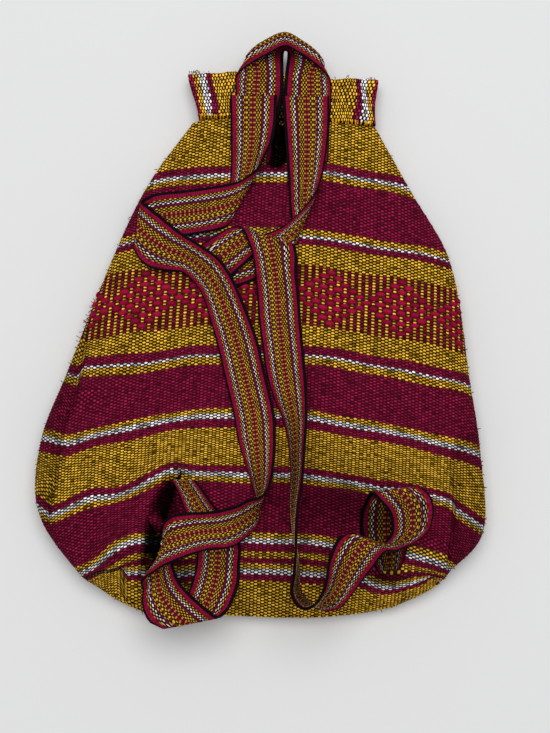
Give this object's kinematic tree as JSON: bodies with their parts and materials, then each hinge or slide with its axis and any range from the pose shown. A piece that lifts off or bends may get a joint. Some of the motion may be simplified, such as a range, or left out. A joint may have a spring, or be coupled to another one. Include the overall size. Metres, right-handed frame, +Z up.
{
  "type": "woven backpack",
  "caption": "Handwoven striped cotton drawstring backpack lying on its front, with a folded mouth channel, a hang loop and loose belt straps on its back.",
  "frame": {"origin": "On the floor under the middle of the whole backpack, straps included.", "axes": "+Z up out of the back, where the straps lie. +Y from the base to the mouth. +X to the right as seen from above with the mouth at the top."},
  "size_m": [0.3478, 0.4898, 0.1058],
  "materials": {
    "sack_cloth": "plain-woven cotton, mustard with maroon and white stripes",
    "band_cloth": "plain-woven mustard cotton",
    "belt": "warp-faced woven cotton belt, crimson, maroon, white, yellow and black"
  },
  "bodies": {
    "root": {"sack": "sack_cloth", "back_mouth_band": "band_cloth", "front_mouth_band": "band_cloth", "hang_loop": "belt", "left_strap": "belt", "right_strap": "belt"}
  },
  "joints": []
}
